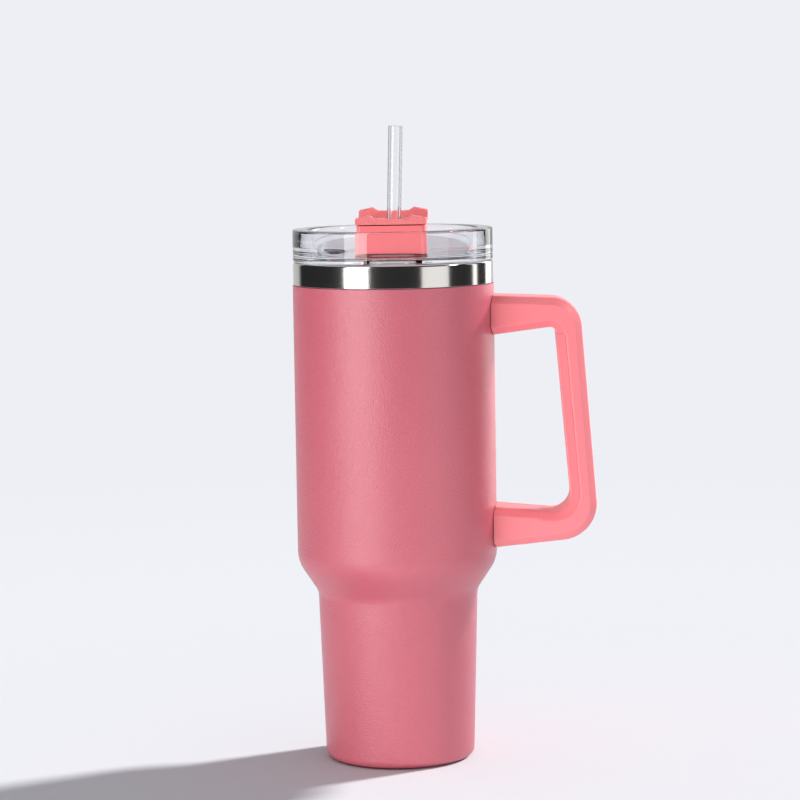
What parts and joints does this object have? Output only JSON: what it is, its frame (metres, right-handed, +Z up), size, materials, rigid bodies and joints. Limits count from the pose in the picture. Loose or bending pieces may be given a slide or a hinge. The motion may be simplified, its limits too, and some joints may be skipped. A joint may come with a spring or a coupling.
{
  "type": "insulated tumbler",
  "caption": "Tall vacuum-insulated tumbler with a narrower stem, a side handle, a clear push-fit lid with a turning drink cover, and a straw.",
  "frame": {"origin": "centre of the base pad's underside, on the cup's axis", "axes": "+Z up along the cup's axis, +X towards the handle"},
  "size_m": [0.1476, 0.0986, 0.312],
  "materials": {
    "coating": "powder coat, fine satin texture",
    "steel": "polished with fine turning lines",
    "bare_steel": "mill finish",
    "handle_plastic": "satin moulded",
    "grip_plastic": "soft satin",
    "bar_plastic": "moulded, finely pebbled top",
    "clear_plastic": "clear, polished",
    "silicone": "matt translucent",
    "pad_rubber": "matt",
    "getter_metal": "sintered",
    "solder": "dull"
  },
  "bodies": {
    "cup": {"outer_shell": "coating", "inner_liner": "steel", "vacuum_disc": "bare_steel", "vacuum_port_seal": "solder", "base_cap": "bare_steel", "base_pad": "pad_rubber", "getter_clip": "bare_steel", "getter_capsule": "getter_metal", "handle_frame": "handle_plastic", "grip_insert": "grip_plastic", "upper_bracket": "bare_steel", "upper_screw": "steel", "upper_screw_plug": "handle_plastic", "lower_bracket": "bare_steel", "lower_screw": "steel", "lower_screw_plug": "handle_plastic"},
    "lid": {"lid_base": "clear_plastic", "lid_ring": "clear_plastic", "lid_gasket": "silicone", "sip_seal": "silicone", "hub_o_ring": "silicone"},
    "cover": {"turning_disc": "clear_plastic", "hub_retainer": "bare_steel", "bar_housing": "bar_plastic", "bar_cap": "bar_plastic"},
    "straw": {"straw": "clear_plastic"}
  },
  "joints": [
    {"name": "lid_lift", "type": "slide", "parent": "cup", "child": "lid", "axis": [0, 0, 1], "range_m": [0, 0.07]},
    {"name": "cover_turn", "type": "hinge", "parent": "lid", "child": "cover", "pos_m": [0, 0, 0.25], "axis": [0, 0, 1], "range_deg": [-60, 61.4]},
    {"name": "straw_pull", "type": "slide", "parent": "lid", "child": "straw", "axis": [0.0309, 0, 0.9995], "range_m": [0, 0.29]}
  ]
}
